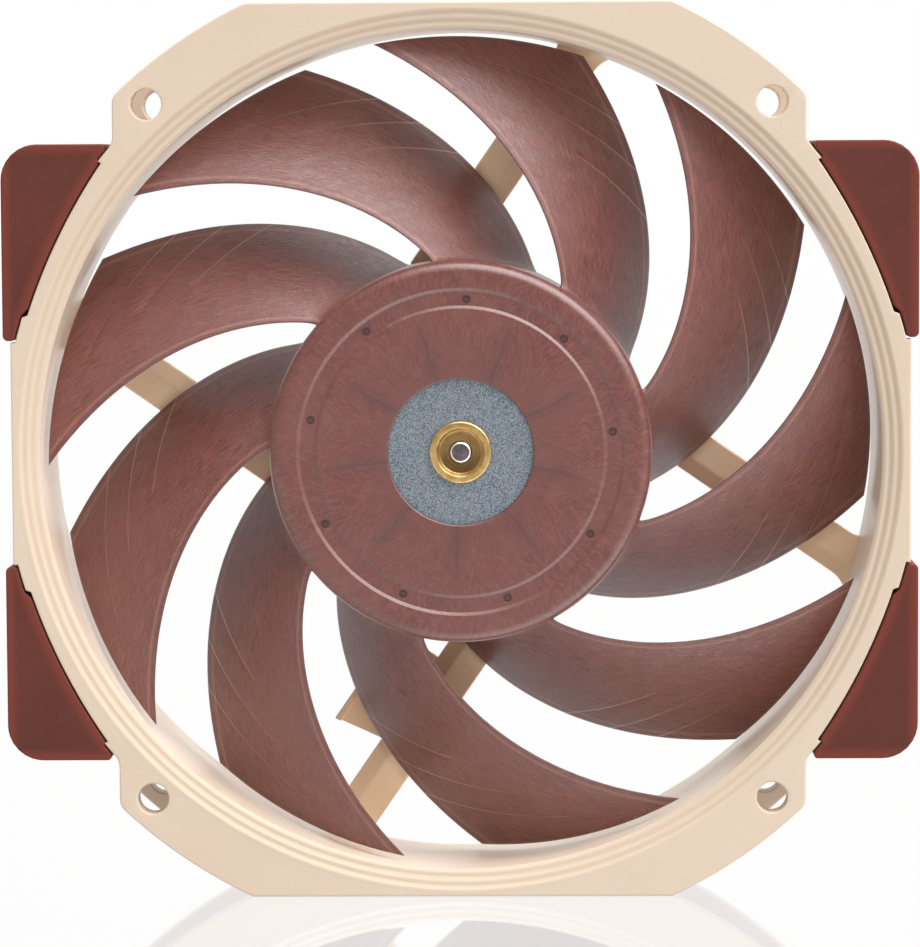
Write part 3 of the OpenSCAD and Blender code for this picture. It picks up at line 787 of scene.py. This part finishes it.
def trail_angle(t):
    """Direction of the trailing edge, t millimetres out from the hub."""
    return 67.0 + 1.511 * t - 0.006 * t * t


def blade_height(r, s):
    """Depth of a blade's middle surface at radius r and chord share s."""
    k = (r - HUB_R) / (TIP_R - HUB_R)
    lead = LEAD_ROOT + (LEAD_TIP - LEAD_ROOT) * k
    trail = TRAIL_ROOT + (TRAIL_TIP - TRAIL_ROOT) * k
    return lead + (trail - lead) * (0.7 * s + 0.3 * s * s)


def edge_round(d, r):
    """0 at an edge, 1 beyond r from it, along a quarter circle."""
    x = max(0.0, min(1.0, d / r))
    return math.sqrt(max(0.0, 1 - (1 - x) ** 2))


def clamp(x):
    return max(0.0, min(1.0, x))


def lean_radius(row, s):
    """Rows of the blade mesh lean inwards along the chord, so that they run with the channels."""
    share = clamp((row - 38.0) / 10.0) * clamp((TIP_R - TIP_ROUND - row) / 2.8)
    return row - CHANNEL_LEAN * max(0.0, s - CHANNELS[0][1]) * share


def channel_depth(row, s):
    """A channel drops at its inner side and rises slowly towards the blade's tip."""
    total = 0.0
    for start, share in CHANNELS:
        along, above = s - share, row - start
        if along > 0 and above > -0.1:
            wall = clamp((above + 0.1) / 0.2)
            floor = clamp(1 - max(0.0, above) / (0.7 + 5.0 * along))
            total += CHANNEL_DEPTH * clamp(along / 0.07) * wall * floor
    return total


def blade_mesh(count):
    """All blades as one mesh, its uv 'flow' in millimetres across and along the fibres."""
    spans = sorted(set(
        [28.6, 29.4] + [HUB_R + 2.2 * i / 10 for i in range(11)]
        + list(np.linspace(HUB_R + 2.2, TIP_R - TIP_ROUND, 64))
        + [TIP_R - TIP_ROUND * (1 - math.sin(math.pi / 2 * i / 6)) for i in range(7)]
        + [start + step for start, _ in CHANNELS for step in (-0.1, -0.07, 0.0, 0.07, 0.1, 0.24)]
    ))
    m = 44
    shares = [0.5 - 0.5 * math.cos(math.pi * i / m) for i in range(m + 1)]
    n = 2 * m
    verts, faces, flow = [], [], []
    for b in range(count):
        first = len(verts)
        place = []
        for row in spans:
            for i in range(n):
                s, side = (shares[i], 1) if i <= m else (shares[n - i], -1)
                r = lean_radius(row, s)
                t = r - HUB_R
                a0, a1 = lead_angle(t), trail_angle(t)
                thick = THICK_ROOT + (THICK_TIP - THICK_ROOT) * clamp(t / (TIP_R - HUB_R))
                x = clamp((FILLET_REACH - t) / FILLET_REACH)
                grow = FILLET * (1 - math.sqrt(max(0.0, 1 - x * x)))
                shrink = edge_round(TIP_R - r, TIP_ROUND) if r > TIP_R - TIP_ROUND else 1.0
                chord = math.radians(a0 - a1) * r
                widen = math.degrees(grow * 0.5 / r)
                ang = math.radians((a0 + widen) * (1 - s) + (a1 - widen) * s + 40.0 * b)
                body = 0.34 + 0.66 * 4 * s * (1 - s)
                edge = edge_round(min(s, 1 - s) * chord, EDGE_ROUND_R)
                half = thick / 2 * body * edge * max(shrink, 0.05) + grow * edge
                z = blade_height(r, s) + side * half
                if side > 0:
                    z -= channel_depth(row, s) * edge
                verts.append((r * math.cos(ang), r * math.sin(ang), z))
                place.append((s * CHORD_UV + b * BLADE_STEP + (1 - side) * 17.0, r))
        rows = len(spans)
        for j in range(rows - 1):
            for i in range(n):
                i2 = (i + 1) % n
                quad = (j * n + i, j * n + i2, (j + 1) * n + i2, (j + 1) * n + i)
                faces.append(tuple(first + q for q in quad))
                flow += [place[q] for q in quad]
        last = (rows - 1) * n
        for i in range(m):
            quad = (last + i, last + i + 1, last + (n - i - 1) % n, last + (n - i) % n)
            quad = tuple(dict.fromkeys(quad))
            if len(quad) < 3:
                continue
            faces.append(tuple(first + q for q in quad))
            flow += [place[q] for q in quad]
    return new_object("impeller_blades", verts, faces, flow, 70.0)


blades = blade_mesh(9)
dress(blades, "impeller_plastic", "rotor", "impeller")
hub = lathe("impeller_hub", rounded([
    (DISC_R, 9.5), (DISC_R, HUB_FRONT), (22.45, HUB_FRONT), (22.95, HUB_FLOOR), (25.15, HUB_FLOOR),
    (25.7, HUB_FRONT), (HUB_R, HUB_FRONT), (HUB_R, -8.6), (27.5, -8.6), (27.5, 9.5),
], [0, 0.3, 0.45, 0.2, 0.2, 0.35, 2.0, 0.5, 0.2, 0.2], 10), 360, 60.0)


DOT_SIDES = 28


def ring_dots(count, at_r, first, z):
    """Cutter for the little ring-and-centre marks in the hub's shallow channel."""
    bm = bmesh.new()
    for k in range(count):
        turn = math.radians(first + 360.0 * k / count)
        cx, cy = at_r * math.cos(turn), at_r * math.sin(turn)
        for r_out, r_in in ((0.68, 0.26), (0.14, 0.0)):
            rows = []
            for r, dz in ((r_out, 0.3), (r_out - 0.06, -0.4), (r_in + 0.04, -0.4), (r_in, 0.3)):
                rows.append([(cx + r * math.cos(a), cy + r * math.sin(a), z + dz)
                             for a in (math.tau * i / DOT_SIDES for i in range(DOT_SIDES))])
            rings = [[bm.verts.new(v) for v in to_world(row)] for row in rows]
            for a, b in zip(rings, rings[1:] + rings[:1]):
                for i in range(DOT_SIDES):
                    j = (i + 1) % DOT_SIDES
                    bm.faces.new((a[i], a[j], b[j], b[i]))
    bmesh.ops.remove_doubles(bm, verts=bm.verts, dist=1e-7)
    bmesh.ops.recalc_face_normals(bm, faces=bm.faces)
    mesh = bpy.data.meshes.new("dot_cutter")
    bm.to_mesh(mesh)
    bm.free()
    return bpy.data.objects.new("dot_cutter", mesh)


cutter = ring_dots(9, DOT_RING_R, DOT_TURN, HUB_FLOOR)
bpy.context.scene.collection.objects.link(cutter)
cut = hub.modifiers.new("dots", "BOOLEAN")
cut.operation = "DIFFERENCE"
cut.solver = "EXACT"
cut.object = cutter
dg = bpy.context.evaluated_depsgraph_get()
hub_mesh = bpy.data.meshes.new_from_object(hub.evaluated_get(dg))
hub.modifiers.clear()
hub.data = hub_mesh
hub_mesh.name = "impeller_hub"
bpy.data.objects.remove(cutter)
dress(hub, "impeller_plastic", "rotor", "impeller")
hub.data.materials[0] = make_impeller("hub_plastic", True)

# ---------------------------------------------------------------- boss and shaft

boss = lathe("rotor_boss_turned", rounded([
    (1.72, 7.6), (3.0, 7.6), (3.0, 11.3), (4.85, 11.3), (4.85, 12.1), (3.85, 12.1), (3.35, 11.45),
    (2.4, 11.32), (1.74, 11.2),
], [0, 0.1, 0.1, 0.1, 0.3, 0.1, 0.3, 0.2, 0.04], 6), 160, 50.0)
dress(boss, "brass", "rotor", "rotor_boss")
shaft = lathe("shaft_turned", rounded([
    (0.0, -9.3), (1.35, -9.3), (1.6, -9.0), (1.6, -8.3), (1.2, -8.3), (1.2, -7.7), (1.6, -7.7),
    (1.6, 11.74), (1.36, 11.88), (0.0, 11.86),
], [0, 0.05, 0.05, 0, 0, 0, 0, 0.03, 0.03, 0], 3), 96, 40.0)
dress(shaft, "shaft_steel", "rotor", "shaft")

# ---------------------------------------------------------------- carried-over CAD nodes

slots = {s["node"]: s["material_slot"] for s in frame["record"]["subparts"]}
for name, obj in frame["nodes"].items():
    if obj.hide_render:
        continue
    obj.data.materials.clear()
    obj.data.materials.append(MATS[slots[name]])
    obj.data.polygons.foreach_set("use_smooth", [True] * len(obj.data.polygons))
    obj.data.set_sharp_from_angle(angle=math.radians(30))

# ---------------------------------------------------------------- floor, light, camera

FLOOR_GLOSS, FLOOR_ROUGH = 0.3, 0.04        # share and roughness of the floor's reflection
bpy.ops.mesh.primitive_plane_add(size=8.0, location=(0, 0, 0))
floor = bpy.context.object
floor.name = "floor"
fn = Nodes(bpy.data.materials.new("floor_white"))
glow = fn.add("ShaderNodeEmission")
glow.inputs["Color"].default_value = (1, 0.993, 0.993, 1)
glow.inputs["Strength"].default_value = 1.0
gloss = fn.add("ShaderNodeBsdfGlossy")
gloss.inputs["Color"].default_value = (1, 1, 1, 1)
gloss.inputs["Roughness"].default_value = FLOOR_ROUGH
blend = fn.add("ShaderNodeMixShader")
blend.inputs[0].default_value = FLOOR_GLOSS
fn.link(glow.outputs[0], blend.inputs[1])
fn.link(gloss.outputs[0], blend.inputs[2])
fn.link(blend.outputs[0], fn.tree.nodes["Material Output"].inputs["Surface"])
floor.data.materials.append(fn.owner)

KEY = Vector((0.43, -0.24, 0.87)).normalized()     # overhead softbox, a little right and in front
KEY_POWER, KEY_SOFT, KEY_FULL = 5.0, 50, 15        # its strength, and its cone's half angles
ROOM_SIDE, ROOM_BACK, CAMERA_GAP = 0.61, 0.39, 0.4


def studio():
    """White studio: bright behind the part, dark round the camera, with one large softbox."""
    n = Nodes(bpy.data.worlds.new("studio"))
    bpy.context.scene.world = n.owner
    background = n.tree.nodes["Background"]
    background.inputs["Color"].default_value = (1, 1, 1, 1)
    way = n.coords("Generated")
    sep = n.add("ShaderNodeSeparateXYZ")
    n.link(way, sep.inputs[0])
    back = n.math("POWER", n.math("MAXIMUM", sep.outputs["Y"], 0.0), 4.0)
    front = n.math("MAXIMUM", n.math("MULTIPLY", sep.outputs["Y"], -1.0), 0.0)
    dot = n.add("ShaderNodeVectorMath", operation="DOT_PRODUCT")
    n.link(way, dot.inputs[0])
    dot.inputs[1].default_value = KEY
    box = n.fit(dot.outputs["Value"], math.cos(math.radians(KEY_SOFT)),
                math.cos(math.radians(KEY_FULL)), 0.0, KEY_POWER)
    room = n.math("MULTIPLY_ADD", back, ROOM_BACK, ROOM_SIDE)
    room = n.math("SUBTRACT", room, n.math("MULTIPLY", n.math("POWER", front, 6.0), CAMERA_GAP))
    light = n.math("ADD", box, room)
    seen = n.add("ShaderNodeLightPath").outputs["Is Camera Ray"]
    n.link(n.fit(seen, 0.0, 1.0, light, 1.0, "LINEAR"), background.inputs["Strength"])


studio()

CAMERA_LENS, CAMERA_AWAY = 155.02, 0.649        # focal length in mm, distance in m
CAMERA_TURN = 1.098, 4.384, -0.310              # azimuth, elevation and roll in degrees
CAMERA_TARGET = -0.33, 0.0, AXIS_Z - 4.22       # the point it looks at, in mm
cam_data = bpy.data.cameras.new("camera")
cam = bpy.data.objects.new("camera", cam_data)
bpy.context.scene.collection.objects.link(cam)
bpy.context.scene.camera = cam
cam_data.lens = CAMERA_LENS
cam_data.sensor_width = 36.0
azimuth, elevation, roll = (math.radians(v) for v in CAMERA_TURN)
target = Vector(CAMERA_TARGET) * MM
back = Vector((math.sin(azimuth) * math.cos(elevation), -math.cos(azimuth) * math.cos(elevation),
               math.sin(elevation)))
right = Vector((math.cos(azimuth), math.sin(azimuth), 0.0))
up = back.cross(right).normalized()
right, up = (right * math.cos(roll) + up * math.sin(roll),
             up * math.cos(roll) - right * math.sin(roll))
facing = Matrix((right, up, back)).transposed().to_4x4()
cam.matrix_world = Matrix.Translation(target + back * CAMERA_AWAY) @ facing
cam_data.clip_start, cam_data.clip_end = 0.05, 20.0
bpy.context.scene.view_settings.view_transform = "Standard"
bpy.context.scene.view_settings.look = "None"
